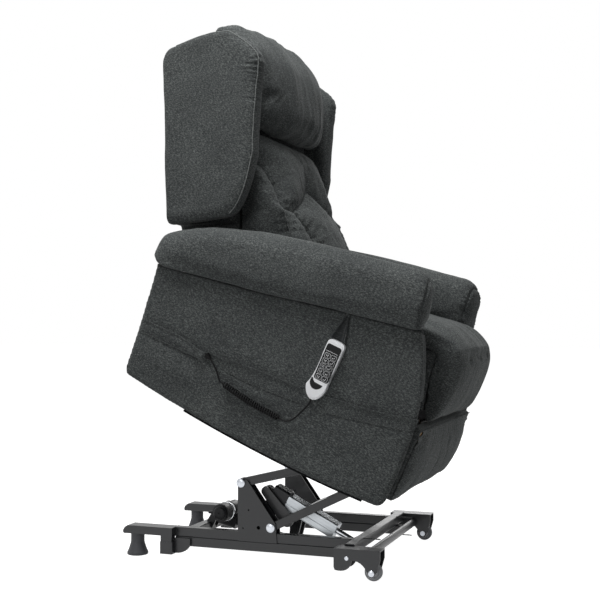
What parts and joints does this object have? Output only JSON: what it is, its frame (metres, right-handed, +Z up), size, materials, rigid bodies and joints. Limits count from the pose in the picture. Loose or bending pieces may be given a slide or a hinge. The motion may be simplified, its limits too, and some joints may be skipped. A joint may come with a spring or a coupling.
{
  "type": "lift recliner chair",
  "caption": "Winged lift recliner in charcoal fabric, tipped forward on a dark steel link-and-actuator lift base with front castors, bell feet and a corded handset at its side.",
  "frame": {"origin": "on the floor at the centre of the footprint of the object as shown, lift raised", "axes": "+Z up; the chair faces -Y and +Y is behind it; +X is the sitter's left; the base frame is symmetric about X = 0"},
  "size_m": [0.81, 1.0827, 1.6303],
  "materials": {
    "frame_steel": "satin powder coat, slate black",
    "zinc_bolts": "bright zinc",
    "rod_steel": "ground and chromed",
    "drive_aluminium": "drawn profile, natural",
    "drive_plastic": "black, finely textured",
    "castor_tyre": "grey tread on a pale rim",
    "foot_rubber": "dark moulded rubber",
    "upholstery": "charcoal woven chenille",
    "board_wood": "plain board",
    "handset_plastic": "silver-grey moulding",
    "keypad_plastic": "black face plate",
    "key_plastic": "black keys",
    "cord_rubber": "black cord"
  },
  "bodies": {
    "base": {"rail_left": "frame_steel", "rail_right": "frame_steel", "front_cross_tube": "frame_steel", "rear_cross_tube": "frame_steel", "upright_left": "frame_steel", "upright_right": "frame_steel", "castor_bracket_left": "frame_steel", "castor_bracket_right": "frame_steel", "foot_left": "foot_rubber", "foot_right": "foot_rubber", "base_bolts": "zinc_bolts"},
    "castor_left": {"castor_wheel_left": "castor_tyre"},
    "castor_right": {"castor_wheel_right": "castor_tyre"},
    "lift_arms": {"lift_arm_left": "frame_steel", "lift_arm_right": "frame_steel", "lift_torque_tube": "frame_steel"},
    "upper_links": {"upper_link_left": "frame_steel", "upper_link_right": "frame_steel"},
    "front_rod": {"front_drive_rod": "rod_steel"},
    "front_drive": {"front_drive_housing": "drive_plastic", "front_drive_tube": "drive_aluminium"},
    "rear_drive": {"rear_drive_housing": "drive_plastic"},
    "rear_rod": {"rear_drive_rod": "rod_steel"},
    "chair": {"seat_rail_left": "frame_steel", "seat_rail_right": "frame_steel", "seat_cross_tubes": "frame_steel", "side_panel_left": "upholstery", "side_panel_right": "upholstery", "arm_pad_left": "upholstery", "arm_pad_right": "upholstery", "seat_cushion": "upholstery", "legrest_drive": "drive_plastic", "handset_shell": "handset_plastic", "handset_face": "keypad_plastic", "cord_grommet": "cord_rubber", "cord_wall_lead": "cord_rubber", "cord_curls": "cord_rubber", "cord_handset_lead": "cord_rubber"},
    "backrest": {"back_frame": "upholstery", "back_hinge": "frame_steel", "back_cushion": "upholstery", "head_pillow": "upholstery", "wing_left": "upholstery", "wing_right": "upholstery"},
    "recline_drive": {"recline_drive": "drive_plastic"},
    "recline_rod": {"recline_rod": "rod_steel"},
    "legrest_inner": {"legrest_inner_links": "frame_steel"},
    "legrest_outer": {"legrest_outer_links": "frame_steel"},
    "legrest": {"legrest_board": "board_wood", "legrest_pad": "upholstery"},
    "key_1": {"button_1": "key_plastic"},
    "key_2": {"button_2": "key_plastic"},
    "key_3": {"button_3": "key_plastic"},
    "key_4": {"button_4": "key_plastic"},
    "key_5": {"button_5": "key_plastic"},
    "key_6": {"button_6": "key_plastic"},
    "key_7": {"button_7": "key_plastic"},
    "key_8": {"button_8": "key_plastic"},
    "key_9": {"button_9": "key_plastic"},
    "key_10": {"button_10": "key_plastic"}
  },
  "joints": [
    {"name": "castor_left_spin", "type": "hinge", "parent": "base", "child": "castor_left", "pos_m": [0.3056, -0.2872, 0.025], "axis": [1, 0, 0], "continuous": true},
    {"name": "castor_right_spin", "type": "hinge", "parent": "base", "child": "castor_right", "pos_m": [-0.3056, -0.2872, 0.025], "axis": [1, 0, 0], "continuous": true},
    {"name": "lift", "type": "hinge", "parent": "base", "child": "lift_arms", "pos_m": [0, 0.0568, 0.109], "axis": [1, 0, 0], "range_deg": [0, 25.9]},
    {"name": "chair_tilt", "type": "hinge", "parent": "lift_arms", "child": "chair", "pos_m": [0, -0.30302, 0.28372], "axis": [1, 0, 0], "range_deg": [-50.3, 0]},
    {"name": "upper_link", "type": "hinge", "parent": "base", "child": "upper_links", "pos_m": [0, 0.1528, 0.238], "axis": [1, 0, 0], "range_deg": [0, 20.93]},
    {"name": "front_drive_hinge", "type": "hinge", "parent": "base", "child": "front_rod", "pos_m": [0, -0.1832, 0.07], "axis": [1, 0, 0], "range_deg": [0, 5.38]},
    {"name": "front_drive_stroke", "type": "slide", "parent": "front_rod", "child": "front_drive", "axis": [0, 0.8871, 0.4616], "range_m": [-0.03959, 0]},
    {"name": "rear_drive_hinge", "type": "hinge", "parent": "base", "child": "rear_drive", "pos_m": [0, 0.2958, 0.115], "axis": [1, 0, 0], "range_deg": [0, 2.73]},
    {"name": "rear_drive_stroke", "type": "slide", "parent": "rear_drive", "child": "rear_rod", "axis": [0, -0.9701, -0.2425], "range_m": [-0.0264, 0]},
    {"name": "recline", "type": "hinge", "parent": "chair", "child": "backrest", "pos_m": [0, 0.2358, 0.71291], "axis": [1, 0, 0], "range_deg": [-38, 0]},
    {"name": "recline_drive_hinge", "type": "hinge", "parent": "chair", "child": "recline_drive", "pos_m": [0, -0.11848, 0.51596], "axis": [1, 0, 0], "range_deg": [0, 2.62]},
    {"name": "recline_drive_stroke", "type": "slide", "parent": "recline_drive", "child": "recline_rod", "axis": [0, 0.9368, 0.3499], "range_m": [-0.03565, 0]},
    {"name": "legrest_swing", "type": "hinge", "parent": "chair", "child": "legrest_inner", "pos_m": [0, -0.35278, 0.41517], "axis": [1, 0, 0], "range_deg": [-155, 0]},
    {"name": "legrest_knee", "type": "hinge", "parent": "legrest_inner", "child": "legrest_outer", "pos_m": [0, -0.22945, 0.43559], "axis": [1, 0, 0], "range_deg": [0, 141.8]},
    {"name": "legrest_tilt", "type": "hinge", "parent": "legrest_outer", "child": "legrest", "pos_m": [0, -0.37226, 0.37339], "axis": [1, 0, 0], "range_deg": [-71.8, 0]},
    {"name": "key_1_press", "type": "slide", "parent": "chair", "child": "key_1", "axis": [1, 0, 0], "range_m": [0, 0.0012], "stiffness_N_per_m": 500, "springref_m": -0.0006},
    {"name": "key_2_press", "type": "slide", "parent": "chair", "child": "key_2", "axis": [1, 0, 0], "range_m": [0, 0.0012], "stiffness_N_per_m": 500, "springref_m": -0.0006},
    {"name": "key_3_press", "type": "slide", "parent": "chair", "child": "key_3", "axis": [1, 0, 0], "range_m": [0, 0.0012], "stiffness_N_per_m": 500, "springref_m": -0.0006},
    {"name": "key_4_press", "type": "slide", "parent": "chair", "child": "key_4", "axis": [1, 0, 0], "range_m": [0, 0.0012], "stiffness_N_per_m": 500, "springref_m": -0.0006},
    {"name": "key_5_press", "type": "slide", "parent": "chair", "child": "key_5", "axis": [1, 0, 0], "range_m": [0, 0.0012], "stiffness_N_per_m": 500, "springref_m": -0.0006},
    {"name": "key_6_press", "type": "slide", "parent": "chair", "child": "key_6", "axis": [1, 0, 0], "range_m": [0, 0.0012], "stiffness_N_per_m": 500, "springref_m": -0.0006},
    {"name": "key_7_press", "type": "slide", "parent": "chair", "child": "key_7", "axis": [1, 0, 0], "range_m": [0, 0.0012], "stiffness_N_per_m": 500, "springref_m": -0.0006},
    {"name": "key_8_press", "type": "slide", "parent": "chair", "child": "key_8", "axis": [1, 0, 0], "range_m": [0, 0.0012], "stiffness_N_per_m": 500, "springref_m": -0.0006},
    {"name": "key_9_press", "type": "slide", "parent": "chair", "child": "key_9", "axis": [1, 0, 0], "range_m": [0, 0.0012], "stiffness_N_per_m": 500, "springref_m": -0.0006},
    {"name": "key_10_press", "type": "slide", "parent": "chair", "child": "key_10", "axis": [1, 0, 0], "range_m": [0, 0.0012], "stiffness_N_per_m": 500, "springref_m": -0.0006}
  ],
  "couplings": [
    {"joint": "chair_tilt", "follows": "lift", "ratio": -1.9421},
    {"joint": "upper_link", "follows": "lift", "ratio": 0.80811},
    {"joint": "front_drive_hinge", "follows": "lift", "ratio": 0.20768},
    {"joint": "front_drive_stroke", "follows": "lift", "m_per_rad": -0.08759},
    {"joint": "rear_drive_hinge", "follows": "lift", "ratio": 0.10548},
    {"joint": "rear_drive_stroke", "follows": "lift", "m_per_rad": -0.058392},
    {"joint": "recline_drive_hinge", "follows": "recline", "ratio": -0.069066},
    {"joint": "recline_drive_stroke", "follows": "recline", "m_per_rad": 0.053755},
    {"joint": "legrest_knee", "follows": "legrest_swing", "ratio": -0.91484},
    {"joint": "legrest_tilt", "follows": "legrest_swing", "ratio": 0.46323}
  ]
}
